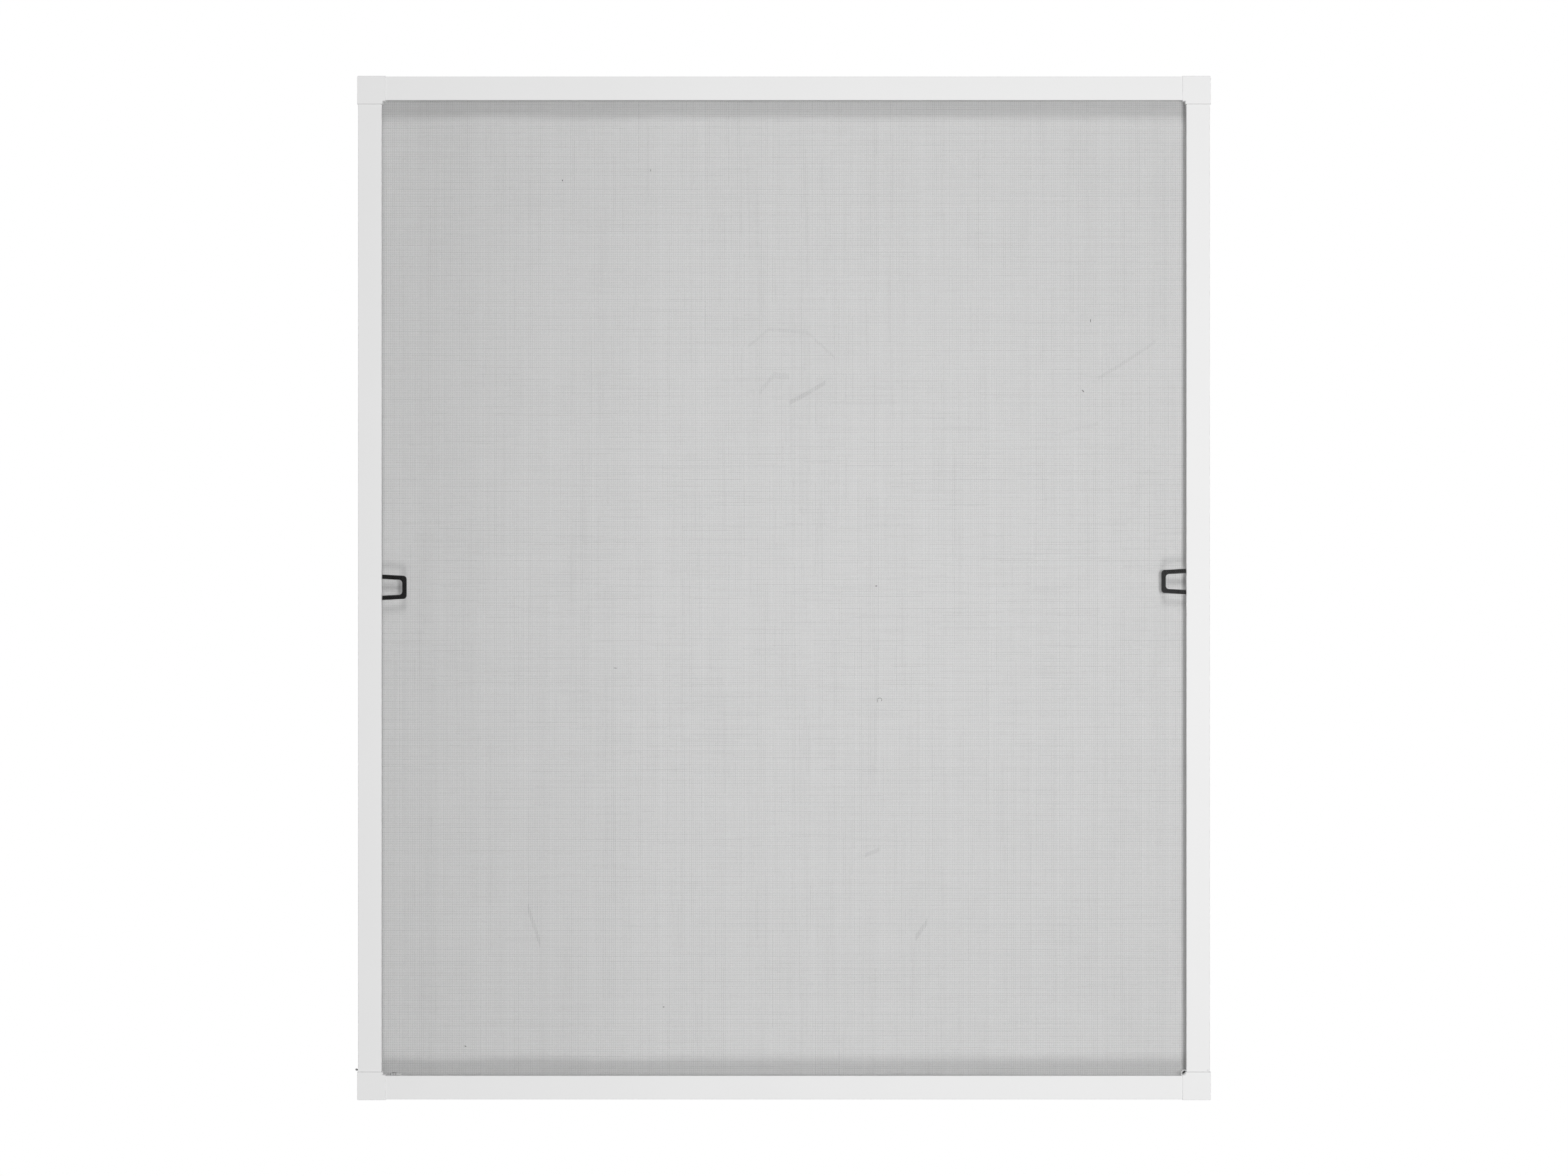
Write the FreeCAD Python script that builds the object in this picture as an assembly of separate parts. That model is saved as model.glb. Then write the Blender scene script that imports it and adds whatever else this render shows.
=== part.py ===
import FreeCAD, Part
import math
import os
from FreeCAD import Vector

# Insect screen frame for a window, in millimetres. X runs along the sill, Z is up, and Y runs from
# the plain outdoor face to the rear face that seats against the window. The origin is the middle of
# the opening, in the plane of the rear face.

# Overall size over the corner connectors
FRAME_WIDTH = 1000.0
FRAME_HEIGHT = 1200.0

# Extruded profile
PROFILE_FACE = 27.6  # width of the plain front face
PROFILE_DEPTH = 10.0  # front face to rear face
PROFILE_WALL = 1.2
PROFILE_EDGE_RADIUS = 0.5

# Spline groove, open to the rear beside the opening
GROOVE_WIDTH = 4.8
GROOVE_DEPTH = 6.0  # rear face to the groove's floor
LIP_WALL = 1.3  # wall between the groove and the opening
LIP_DROP = 2.2  # the lip stops this far below the rear face
BARB_REACH = 0.5  # hooked tooth that keeps the spline in
BARB_TOP = 0.5
BARB_HEIGHT = 1.0

# Undercut slot for the brush seal, open to the rear near the outer edge
BRUSH_SLOT_INSET = 2.0
BRUSH_SLOT_WIDTH = 5.0
BRUSH_SLOT_MOUTH = 3.0
BRUSH_SLOT_LIP = 0.8
BRUSH_SLOT_DEPTH = 2.0

# Brush seal
BRUSH_BACKING = 1.0  # thickness of the strip that carries the pile
BRUSH_SIDE_GAP = 0.2  # strip and pile to the sides of the slot
BRUSH_PILE = 5.0  # pile height above the rear face

# Corner connector: a cap, proud of the profiles, with two legs
CORNER_OUTER_STEP = 0.8
CORNER_INNER_STEP = 1.1
CORNER_FRONT_STEP = 0.6
CORNER_NOTCH = 3.5  # each arm runs this far past the inner edge of the other
CORNER_WALL = 2.0
CORNER_RIB = 1.4
CORNER_RADIUS = 1.2
CORNER_EDGE_RADIUS = 0.5
UPRIGHT_JOINT_GAP = 0.22  # hairline between the cap and the end of an upright
LEVEL_JOINT_GAP = 0.04  # the same at the top and bottom profiles

# Legs, pushed into the profiles
LEG_LENGTH = 42.0
LEG_SIDE_GAP = 0.4  # leg body to chamber wall, filled by the barbs
LEG_FLOOR = 2.0
LEG_TEETH = 5
LEG_TOOTH_START = 4.0
LEG_TOOTH_PITCH = 7.0
LEG_TOOTH_FLAT = 1.0
LEG_TOOTH_RAMP = 4.5
LEG_LEAD = 2.0  # chamfer on the leg's tip

# Insect mesh, stretched over the lips and tucked into the groove. The solid gathers its threads into
# bands and leaves a grid of openings between them, with the open share of the real weave
WARP_PITCH = 1.36  # upright threads
WEFT_PITCH = 1.40  # level threads
THREAD = 0.16
MESH_COLUMNS = 10  # openings across
MESH_ROWS = 12
RIDGE_HEIGHT = 0.2  # each thread of a band stands out as a ridge
MESH_CORE = 0.3
TUCK_THICKNESS = 0.4
TUCK_FLOOR_GAP = 0.3

# Spline cord
SPLINE_SIDE_GAP = 0.3
SPLINE_HEIGHT = 4.0
SPLINE_END_GAP = 0.5

# Pull loops, one on each upright
LOOP_REACH = 28.5  # inner edge of the profile to the loop's end
LOOP_ROOT = 29.8  # height over both arms at the inner edge
LOOP_TIP = 26.8
LOOP_ARM = 5.0
LOOP_BAR = 5.05
LOOP_THICKNESS = 1.5
LOOP_FOOT = 1.0
LOOP_FOOT_GAP = 0.3  # foot to the spline and to the groove's floor
LOOP_OUTER_RADIUS = 4.2
LOOP_INNER_RADIUS = 4.0
LOOP_BEND_RADIUS = 0.8
LEFT_LOOP_RISE = 0.8  # middle of the loop above the middle of the frame
RIGHT_LOOP_RISE = 7.6

QUARTER_TURN = 90.0  # degrees
SAME_PLACE = 1e-6

# Levels along Y
REAR = 0.0
FRONT = REAR - PROFILE_DEPTH
GROOVE_FLOOR = REAR - GROOVE_DEPTH
LIP_TOP = REAR - LIP_DROP
CAP_FRONT = FRONT - CORNER_FRONT_STEP
MESH_MIDDLE = LIP_TOP + RIDGE_HEIGHT + MESH_CORE / 2
MESH_REAR = MESH_MIDDLE + MESH_CORE / 2 + RIDGE_HEIGHT

# Distances from the frame's outermost line towards the opening
OUTER_EDGE = CORNER_OUTER_STEP
INNER_EDGE = OUTER_EDGE + PROFILE_FACE
GROOVE_IN = INNER_EDGE - LIP_WALL
GROOVE_OUT = GROOVE_IN - GROOVE_WIDTH
SLOT_OUT = OUTER_EDGE + BRUSH_SLOT_INSET
SLOT_IN = SLOT_OUT + BRUSH_SLOT_WIDTH
MOUTH_OUT = SLOT_OUT + (BRUSH_SLOT_WIDTH - BRUSH_SLOT_MOUTH) / 2
MOUTH_IN = MOUTH_OUT + BRUSH_SLOT_MOUTH
CHAMBER_OUT = SLOT_IN + PROFILE_WALL
CHAMBER_IN = GROOVE_OUT - PROFILE_WALL
CHAMBER_FRONT = FRONT + PROFILE_WALL
CHAMBER_REAR = REAR - PROFILE_WALL
CAP_INNER = INNER_EDGE + CORNER_INNER_STEP
CAP_END = CAP_INNER + CORNER_NOTCH
SPLINE_IN = GROOVE_IN - TUCK_THICKNESS - SPLINE_SIDE_GAP
SPLINE_OUT = GROOVE_OUT + SPLINE_SIDE_GAP
FOOT_IN = GROOVE_IN - TUCK_THICKNESS
FOOT_OUT = FOOT_IN - LOOP_FOOT

# Sides in the order of quarter turns about Y from the sill side, which each is modelled as: outer
# length of the side, its distance from the middle and the gap at the ends of its profile
SIDES = {
    "bottom": (FRAME_WIDTH, FRAME_HEIGHT / 2, LEVEL_JOINT_GAP),
    "left": (FRAME_HEIGHT, FRAME_WIDTH / 2, UPRIGHT_JOINT_GAP),
    "top": (FRAME_WIDTH, FRAME_HEIGHT / 2, LEVEL_JOINT_GAP),
    "right": (FRAME_HEIGHT, FRAME_WIDTH / 2, UPRIGHT_JOINT_GAP),
}
# Corners in the order of quarter turns from the lower left one: place of the outermost point
CORNERS = {
    "bottom_left": Vector(-FRAME_WIDTH / 2, 0, -FRAME_HEIGHT / 2),
    "top_left": Vector(-FRAME_WIDTH / 2, 0, FRAME_HEIGHT / 2),
    "top_right": Vector(FRAME_WIDTH / 2, 0, FRAME_HEIGHT / 2),
    "bottom_right": Vector(FRAME_WIDTH / 2, 0, -FRAME_HEIGHT / 2),
}
# Place of each loop along its side, in that side's own direction
LOOPS = {"left": -LEFT_LOOP_RISE, "right": RIGHT_LOOP_RISE}


def section(points):
    """Face across a side, from pairs of distance from the outermost line and level."""
    corners = [Vector(0, level, distance) for distance, level in points]
    return Part.Face(Part.makePolygon(corners + corners[:1]))


def run(face, start, end):
    """A section drawn out along its side."""
    return face.translated(Vector(start, 0, 0)).extrude(Vector(end - start, 0, 0))


def plan(points, low, high):
    """Outline in the frame's plane, from pairs of X and Z, drawn from one level to another."""
    corners = [Vector(x, low, z) for x, z in points]
    return Part.Face(Part.makePolygon(corners + corners[:1])).extrude(Vector(0, high - low, 0))


def swapped(points):
    """The same outline for the other arm of a corner."""
    return [(z, x) for x, z in points]


def rectangle(x0, z0, x1, z1):
    return [(x0, z0), (x1, z0), (x1, z1), (x0, z1)]


def edges_along(shape, direction, spots):
    """Straight edges in one direction through any of the given points."""
    found = []
    for edge in shape.Edges:
        start = edge.Vertexes[0].Point
        end = edge.Vertexes[-1].Point
        if start.distanceToPoint(end) < SAME_PLACE:
            continue
        if (end - start).normalize().cross(direction).Length > SAME_PLACE:
            continue
        if any((spot - start).cross(direction).Length < SAME_PLACE for spot in spots):
            found.append(edge)
    return found


def turned(shape, quarters):
    """The shape after some quarter turns about the Y axis."""
    return shape.rotated(Vector(0, 0, 0), Vector(0, 1, 0), QUARTER_TURN * quarters)


def on_side(shape, side):
    distance = SIDES[side][1]
    return turned(shape.translated(Vector(0, 0, -distance)), list(SIDES).index(side))


def on_corner(shape, name):
    return turned(shape, list(CORNERS).index(name)).translated(CORNERS[name])


def profile_half(side):
    """Half the length of the profile on a side, between the caps."""
    length, distance, gap = SIDES[side]
    return length / 2 - CAP_END - gap


def profile(side):
    """Hollow extrusion with three cells, the spline groove and the brush slot."""
    outline = section([
        (OUTER_EDGE, FRONT),
        (INNER_EDGE, FRONT),
        (INNER_EDGE, LIP_TOP),
        (GROOVE_IN, LIP_TOP),
        (GROOVE_IN, GROOVE_FLOOR),
        (GROOVE_OUT, GROOVE_FLOOR),
        (GROOVE_OUT, REAR - BARB_TOP - BARB_HEIGHT),
        (GROOVE_OUT + BARB_REACH, REAR - BARB_TOP - BARB_HEIGHT),
        (GROOVE_OUT, REAR - BARB_TOP),
        (GROOVE_OUT, REAR),
        (MOUTH_IN, REAR),
        (MOUTH_IN, REAR - BRUSH_SLOT_LIP),
        (SLOT_IN, REAR - BRUSH_SLOT_LIP),
        (SLOT_IN, REAR - BRUSH_SLOT_DEPTH),
        (SLOT_OUT, REAR - BRUSH_SLOT_DEPTH),
        (SLOT_OUT, REAR - BRUSH_SLOT_LIP),
        (MOUTH_OUT, REAR - BRUSH_SLOT_LIP),
        (MOUTH_OUT, REAR),
        (OUTER_EDGE, REAR),
    ])
    half = profile_half(side)
    bar = run(outline, -half, half)
    rounded = [Vector(0, FRONT, OUTER_EDGE), Vector(0, FRONT, INNER_EDGE), Vector(0, REAR, OUTER_EDGE)]
    bar = bar.makeFillet(PROFILE_EDGE_RADIUS, edges_along(bar, Vector(1, 0, 0), rounded))
    slot_floor = REAR - BRUSH_SLOT_DEPTH - PROFILE_WALL
    cells = [
        rectangle(CHAMBER_OUT, CHAMBER_FRONT, CHAMBER_IN, CHAMBER_REAR),
        rectangle(OUTER_EDGE + PROFILE_WALL, CHAMBER_FRONT, SLOT_IN, slot_floor),
        rectangle(GROOVE_OUT, CHAMBER_FRONT, GROOVE_IN, GROOVE_FLOOR - PROFILE_WALL),
    ]
    return bar.cut([run(section(cell), -half, half) for cell in cells])


def leg_outline():
    """Barbed leg along X. The barbs' flats bear on the two walls of the profile's chamber."""
    low = CHAMBER_OUT + LEG_SIDE_GAP
    high = CHAMBER_IN - LEG_SIDE_GAP
    tip = CAP_END + LEG_LENGTH
    lower = [(CAP_END - CORNER_WALL, low)]
    upper = [(CAP_END - CORNER_WALL, high)]
    for tooth in range(LEG_TEETH):
        x = CAP_END + LEG_TOOTH_START + tooth * LEG_TOOTH_PITCH
        lower += [(x, low), (x, CHAMBER_OUT), (x + LEG_TOOTH_FLAT, CHAMBER_OUT), (x + LEG_TOOTH_RAMP, low)]
        upper += [(x, high), (x, CHAMBER_IN), (x + LEG_TOOTH_FLAT, CHAMBER_IN), (x + LEG_TOOTH_RAMP, high)]
    lower += [(tip - LEG_LEAD, low), (tip, low + LEG_LEAD)]
    upper += [(tip - LEG_LEAD, high), (tip, high - LEG_LEAD)]
    return lower + upper[::-1]


def corner():
    """Moulded cap, cored from the rear, with the spline channel round its corner and two legs."""
    cap = plan([(0, 0), (CAP_END, 0), (CAP_END, CAP_INNER), (CAP_INNER, CAP_INNER),
                (CAP_INNER, CAP_END), (0, CAP_END)], CAP_FRONT, REAR)
    cap = cap.makeFillet(CORNER_RADIUS, edges_along(cap, Vector(0, 1, 0), [Vector(0, 0, 0)]))
    front_face = min(cap.Faces, key=lambda face: face.CenterOfMass.y)
    cap = cap.makeFillet(CORNER_EDGE_RADIUS, front_face.Edges)

    channel = plan([(GROOVE_OUT, GROOVE_OUT), (CAP_END, GROOVE_OUT), (CAP_END, GROOVE_IN),
                    (GROOVE_IN, GROOVE_IN), (GROOVE_IN, CAP_END), (GROOVE_OUT, CAP_END)],
                   GROOVE_FLOOR, REAR)
    lip_room = plan([(GROOVE_IN, GROOVE_IN), (CAP_END, GROOVE_IN), (CAP_END, CAP_INNER),
                     (CAP_INNER, CAP_INNER), (CAP_INNER, CAP_END), (GROOVE_IN, CAP_END)],
                    LIP_TOP, REAR)

    # Cored pockets: two triangles with a diagonal rib between them, and one pocket in each arm
    near = CORNER_WALL
    far = GROOVE_OUT - CORNER_WALL
    triangle = [(near + CORNER_RIB, near), (far, near), (far, far - CORNER_RIB)]
    arm_pocket = rectangle(far + CORNER_RIB, near, CAP_END - CORNER_WALL, far)
    core_floor = CAP_FRONT + CORNER_WALL
    pockets = []
    for outline in (triangle, arm_pocket):
        pockets.append(plan(outline, core_floor, REAR))
        pockets.append(plan(swapped(outline), core_floor, REAR))
    cap = cap.cut([channel, lip_room] + pockets)

    leg_front = CHAMBER_FRONT + LEG_SIDE_GAP
    leg_rear = CHAMBER_REAR - LEG_SIDE_GAP
    core = rectangle(CAP_END + CORNER_WALL, CHAMBER_OUT + LEG_SIDE_GAP + LEG_FLOOR,
                     CAP_END + LEG_LENGTH - LEG_LEAD - LEG_FLOOR, CHAMBER_IN - LEG_SIDE_GAP - LEG_FLOOR)
    legs = []
    for arm in (list, swapped):
        leg = plan(arm(leg_outline()), leg_front, leg_rear)
        legs.append(leg.cut(plan(arm(core), leg_front + LEG_FLOOR, leg_rear)))
    return cap.fuse(legs).removeSplitter()


def bands(length, pitch, openings, tip, middle):
    """Outlines across the bands of one direction, from pairs of place along the sheet and level."""
    share = THREAD / pitch
    step = length / (openings + share)
    width = share * step
    threads = max(1, round(width / pitch))
    thread = width / threads
    valley = tip + math.copysign(RIDGE_HEIGHT, middle - tip)
    outlines = []
    for band in range(openings + 1):
        start = -length / 2 + band * step
        points = [(start, middle), (start, valley)]
        for ridge in range(threads):
            points += [(start + (ridge + 0.5) * thread, tip), (start + (ridge + 1) * thread, valley)]
        outlines.append(points + [(start + width, middle)])
    return outlines


def insect_mesh():
    """Bands of upright threads in front and of level ones behind, with the sheet's edges tucked in."""
    half_x = FRAME_WIDTH / 2 - GROOVE_IN
    half_z = FRAME_HEIGHT / 2 - GROOVE_IN
    threads = []
    for outline in bands(2 * half_x, WARP_PITCH, MESH_COLUMNS, LIP_TOP, MESH_MIDDLE):
        corners = [Vector(x, y, -half_z) for x, y in outline]
        threads.append(Part.Face(Part.makePolygon(corners + corners[:1])).extrude(Vector(0, 0, 2 * half_z)))
    for outline in bands(2 * half_z, WEFT_PITCH, MESH_ROWS, MESH_REAR, MESH_MIDDLE):
        corners = [Vector(-half_x, y, z) for z, y in outline]
        threads.append(Part.Face(Part.makePolygon(corners + corners[:1])).extrude(Vector(2 * half_x, 0, 0)))
    edge_x = half_x + TUCK_THICKNESS
    edge_z = half_z + TUCK_THICKNESS
    tuck_end = GROOVE_FLOOR + TUCK_FLOOR_GAP
    tuck = plan(rectangle(-edge_x, -edge_z, edge_x, edge_z), tuck_end, MESH_REAR)
    tuck = tuck.cut(plan(rectangle(-half_x, -half_z, half_x, half_z), tuck_end, MESH_REAR))
    return tuck.fuse(threads)


def spline(side):
    """Cord with a flat foot on the groove's floor and a round back. Upright cords fill the corners."""
    length = SIDES[side][0]
    upright = side in LOOPS
    end = GROOVE_OUT + SPLINE_END_GAP if upright else GROOVE_IN + SPLINE_END_GAP
    radius = (SPLINE_IN - SPLINE_OUT) / 2
    middle = (SPLINE_IN + SPLINE_OUT) / 2
    shoulder = GROOVE_FLOOR + SPLINE_HEIGHT - radius
    foot_out = Vector(0, GROOVE_FLOOR, SPLINE_OUT)
    foot_in = Vector(0, GROOVE_FLOOR, SPLINE_IN)
    shoulder_out = Vector(0, shoulder, SPLINE_OUT)
    shoulder_in = Vector(0, shoulder, SPLINE_IN)
    crown = Vector(0, shoulder + radius, middle)
    outline = Part.Wire([
        Part.makeLine(foot_out, foot_in),
        Part.makeLine(foot_in, shoulder_in),
        Part.Arc(shoulder_in, crown, shoulder_out).toShape(),
        Part.makeLine(shoulder_out, foot_out),
    ])
    cord = run(Part.Face(outline), end - length / 2, length / 2 - end)
    if upright:
        room = [plan(foot, GROOVE_FLOOR, REAR) for foot in foot_outlines(LOOPS[side], LOOP_FOOT_GAP)]
        cord = cord.cut(room)
    return cord


def foot_outlines(place, room):
    """The two feet of a pull loop, seen from the rear, with room left round them."""
    root = LOOP_ROOT / 2
    upper = rectangle(place + root - LOOP_ARM - room, FOOT_OUT - room, place + root + room, FOOT_IN + room)
    lower = rectangle(place - root - room, FOOT_OUT - room, place - root + LOOP_ARM + room, FOOT_IN + room)
    return [lower, upper]


def pull_loop(place):
    """Flat U-shaped strap behind the mesh, with two feet held in the groove by the spline."""
    tip = INNER_EDGE + LOOP_REACH
    root = LOOP_ROOT / 2
    slope = (LOOP_ROOT - LOOP_TIP) / 2 / LOOP_REACH
    end = root - slope * LOOP_REACH
    gap_end = tip - LOOP_BAR
    gap_root = root - LOOP_ARM
    gap_tip = gap_root - slope * (gap_end - INNER_EDGE)
    along_y = Vector(0, 1, 0)
    outer = plan([(-root, FOOT_OUT), (-root, INNER_EDGE), (-end, tip), (end, tip), (root, INNER_EDGE),
                  (root, FOOT_OUT)], MESH_REAR, MESH_REAR + LOOP_THICKNESS)
    outer_corners = [Vector(-end, 0, tip), Vector(end, 0, tip)]
    outer = outer.makeFillet(LOOP_OUTER_RADIUS, edges_along(outer, along_y, outer_corners))
    gap = plan([(-gap_root, FOOT_OUT), (-gap_root, INNER_EDGE), (-gap_tip, gap_end), (gap_tip, gap_end),
                (gap_root, INNER_EDGE), (gap_root, FOOT_OUT)], MESH_REAR, MESH_REAR + LOOP_THICKNESS)
    gap_corners = [Vector(-gap_tip, 0, gap_end), Vector(gap_tip, 0, gap_end)]
    gap = gap.makeFillet(LOOP_INNER_RADIUS, edges_along(gap, along_y, gap_corners))
    strap = outer.cut(gap)
    feet = [plan(foot, GROOVE_FLOOR + LOOP_FOOT_GAP, MESH_REAR) for foot in foot_outlines(0, 0)]
    strap = strap.fuse(feet).removeSplitter()
    bend = [Vector(0, MESH_REAR + LOOP_THICKNESS, FOOT_OUT)]
    strap = strap.makeFillet(LOOP_BEND_RADIUS, edges_along(strap, Vector(1, 0, 0), bend))
    return strap.translated(Vector(place, 0, 0))


def brush(side):
    """Brush seal: a flat backing slid into the slot, and a wall of pile."""
    half = profile_half(side)
    slot_floor = REAR - BRUSH_SLOT_DEPTH
    backing_top = slot_floor + BRUSH_BACKING
    pile_out = MOUTH_OUT + BRUSH_SIDE_GAP
    pile_in = MOUTH_IN - BRUSH_SIDE_GAP
    outline = section([
        (SLOT_OUT + BRUSH_SIDE_GAP, slot_floor),
        (SLOT_IN - BRUSH_SIDE_GAP, slot_floor),
        (SLOT_IN - BRUSH_SIDE_GAP, backing_top),
        (pile_in, backing_top),
        (pile_in, REAR + BRUSH_PILE),
        (pile_out, REAR + BRUSH_PILE),
        (pile_out, backing_top),
        (SLOT_OUT + BRUSH_SIDE_GAP, backing_top),
    ])
    return run(outline, -half, half)


pieces = {"insect_mesh": insect_mesh()}
for side in SIDES:
    pieces[side + "_profile"] = on_side(profile(side), side)
    pieces[side + "_spline"] = on_side(spline(side), side)
    pieces[side + "_brush"] = on_side(brush(side), side)
for corner_name in CORNERS:
    pieces[corner_name + "_corner"] = on_corner(corner(), corner_name)
for side, place in LOOPS.items():
    pieces[side + "_pull_loop"] = on_side(pull_loop(place), side)

os.makedirs("parts", exist_ok=True)
for name, shape in pieces.items():
    shape.exportStep("parts/" + name + ".step")
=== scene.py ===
import math
import random

import bpy
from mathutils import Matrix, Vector


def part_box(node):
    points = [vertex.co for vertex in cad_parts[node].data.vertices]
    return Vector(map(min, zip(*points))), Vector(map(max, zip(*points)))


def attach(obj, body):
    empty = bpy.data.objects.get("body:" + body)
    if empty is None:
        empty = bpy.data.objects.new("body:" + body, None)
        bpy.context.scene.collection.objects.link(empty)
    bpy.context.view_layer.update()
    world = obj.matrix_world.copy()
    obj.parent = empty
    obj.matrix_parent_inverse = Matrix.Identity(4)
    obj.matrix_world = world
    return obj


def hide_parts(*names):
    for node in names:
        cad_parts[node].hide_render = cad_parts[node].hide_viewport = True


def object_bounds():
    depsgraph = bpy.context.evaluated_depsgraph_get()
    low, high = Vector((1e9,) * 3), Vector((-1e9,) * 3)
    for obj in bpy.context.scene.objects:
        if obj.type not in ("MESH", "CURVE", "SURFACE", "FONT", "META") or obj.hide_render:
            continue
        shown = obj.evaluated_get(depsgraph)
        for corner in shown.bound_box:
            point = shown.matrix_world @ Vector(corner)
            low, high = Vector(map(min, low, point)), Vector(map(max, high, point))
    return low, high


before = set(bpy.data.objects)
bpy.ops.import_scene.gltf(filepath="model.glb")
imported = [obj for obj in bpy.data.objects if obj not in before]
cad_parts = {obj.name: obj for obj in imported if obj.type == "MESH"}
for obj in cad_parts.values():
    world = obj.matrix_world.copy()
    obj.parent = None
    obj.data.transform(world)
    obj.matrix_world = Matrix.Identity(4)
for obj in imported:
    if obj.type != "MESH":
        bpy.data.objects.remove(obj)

cad_box = [list(corner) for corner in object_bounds()]

# The four profiles are hollow aluminium extrusions, sawn square, powder coated white and pushed
# over the legs of the corner connectors. They stay as the frame's own solids and get their coat
# here: a faint orange peel and slow drifts of tone. Low down on the right one a small grey spot is
# painted shade, standing in for the shadow in a chip at the profile's sawn end.

SIDES = ("bottom", "left", "top", "right")
COAT_WHITE = (0.80, 0.80, 0.80, 1)
COAT_SHADE = (0.775, 0.775, 0.775, 1)
COAT_DRIFT_SCALE = 7.0
COAT_PEEL_SCALE = 900.0
COAT_PEEL_DEPTH = 0.00003
COAT_ROUGHNESS = 0.52
COAT_PEEL_ROUGHNESS = 0.14
PAINTED_CHIP_SHADE_GREY = (0.50, 0.50, 0.50, 1)
CHIP_SHADE_STRENGTH = 0.6
CHIP_SHADE_RISE = 0.0016
CHIP_SHADE_INSET = 0.0026
CHIP_SHADE_RADIUS = 0.0018


class Signal:
    """A socket in a finish: arithmetic on it adds Math nodes, and node() adds any other node."""

    def __init__(self, tree, socket=None):
        self.tree = tree
        self.socket = socket

    def node(self, kind, settings=None, sockets=None, output=0):
        made = self.tree.nodes.new("ShaderNode" + kind)
        for name, value in (settings or {}).items():
            setattr(made, name, value)
        for name, value in (sockets or {}).items():
            if isinstance(value, Signal):
                self.tree.links.new(value.socket, made.inputs[name])
            else:
                made.inputs[name].default_value = value
        return Signal(self.tree, made.outputs[output] if made.outputs else None)

    def maths(self, operation, first, second):
        return self.node("Math", {"operation": operation}, {0: first, 1: second})

    def __add__(self, other):
        return self.maths("ADD", self, other)

    __radd__ = __add__

    def __sub__(self, other):
        return self.maths("SUBTRACT", self, other)

    def __rsub__(self, other):
        return self.maths("SUBTRACT", other, self)

    def __mul__(self, other):
        return self.maths("MULTIPLY", self, other)

    __rmul__ = __mul__


def new_finish(name):
    """An empty finish, a pen that adds its nodes, and the place on the piece in metres."""
    finish = bpy.data.materials.new(name)
    finish.use_nodes = True
    finish.node_tree.nodes.clear()
    pen = Signal(finish.node_tree)
    return finish, pen, pen.node("TexCoord", output="Object")


def noise(pen, place, scale, detail=2.0):
    return pen.node("TexNoise", None, {"Vector": place, "Scale": scale, "Detail": detail})


def blend(pen, share, first, second):
    return pen.node("Mix", {"data_type": "RGBA"}, {0: share, 6: first, 7: second}, output=2)


def bump(pen, height, depth, strength=1.0):
    return pen.node("Bump", None, {"Strength": strength, "Distance": depth, "Height": height})


def close_finish(pen, sockets):
    surface = pen.node("BsdfPrincipled", None, sockets)
    pen.node("OutputMaterial", None, {"Surface": surface})


def wear(names, finish):
    """Puts a finish on some of the frame's own solids."""
    for name in names:
        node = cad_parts[name]
        node.material_slots[0].material = finish


# Painted shade: a small grey spot near the right profile's lower end stands in for the shadow in a
# chip there.
right_low, right_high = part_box("right_profile")
chip_shade_place = (right_high.x - CHIP_SHADE_INSET, right_low.y, right_low.z + CHIP_SHADE_RISE)
powder_coat, pen, place = new_finish("white_powder_coat")
drift = noise(pen, place, COAT_DRIFT_SCALE, detail=3.0)
peel = noise(pen, place, COAT_PEEL_SCALE)
from_chip_shade = pen.node(
    "VectorMath", {"operation": "DISTANCE"}, {0: place, 1: chip_shade_place}, output="Value"
)
painted_chip_shade = pen.node(
    "MapRange",
    {"interpolation_type": "SMOOTHSTEP"},
    {
        "Value": from_chip_shade,
        "From Min": 0.0,
        "From Max": CHIP_SHADE_RADIUS,
        "To Min": CHIP_SHADE_STRENGTH,
        "To Max": 0.0,
    },
)
close_finish(pen, {
    "Base Color": blend(pen, painted_chip_shade, blend(pen, drift, COAT_WHITE, COAT_SHADE), PAINTED_CHIP_SHADE_GREY),
    "Roughness": COAT_ROUGHNESS + COAT_PEEL_ROUGHNESS * peel,
    "Normal": bump(pen, peel, COAT_PEEL_DEPTH),
})
wear([side + "_profile" for side in SIDES], powder_coat)

# The corner connectors are white moulded plastic: a cap that shows between the profiles' ends, and
# two barbed legs inside them. The mould has left a fine even grain, and at the lower right inner
# corner a thin curl of flash that was never trimmed and bows out over the mesh.

CORNERS = ("bottom_left", "top_left", "top_right", "bottom_right")
PLASTIC_WHITE = (0.80, 0.80, 0.80, 1)
PLASTIC_SHADE = (0.785, 0.785, 0.785, 1)
PLASTIC_FLOW_SCALE = 40.0
PLASTIC_GRAIN_SCALE = 2600.0
PLASTIC_GRAIN_DEPTH = 0.000012
PLASTIC_ROUGHNESS = 0.55
PLASTIC_GRAIN_ROUGHNESS = 0.12
REARWARD = Vector((0, 1, 0))
FLASH_THICKNESS = 0.0009
FLASH_SIDES = 8
FLASH_CENTRE = Vector((0.4692, -0.0093, -0.5687))
FLASH_RADIUS = 0.0037
FLASH_START = 50
FLASH_END = 227
FLASH_STEPS = 14
FLASH_LOBE = 0.0015
FLASH_LOBE_POINTS = ((1.7, 0, -2.0), (0.5, 0, -0.6), (-0.4, 0, -0.3))
FLASH_LOBE_SWELLS = (1.0, 1.0, 0.5)

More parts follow.
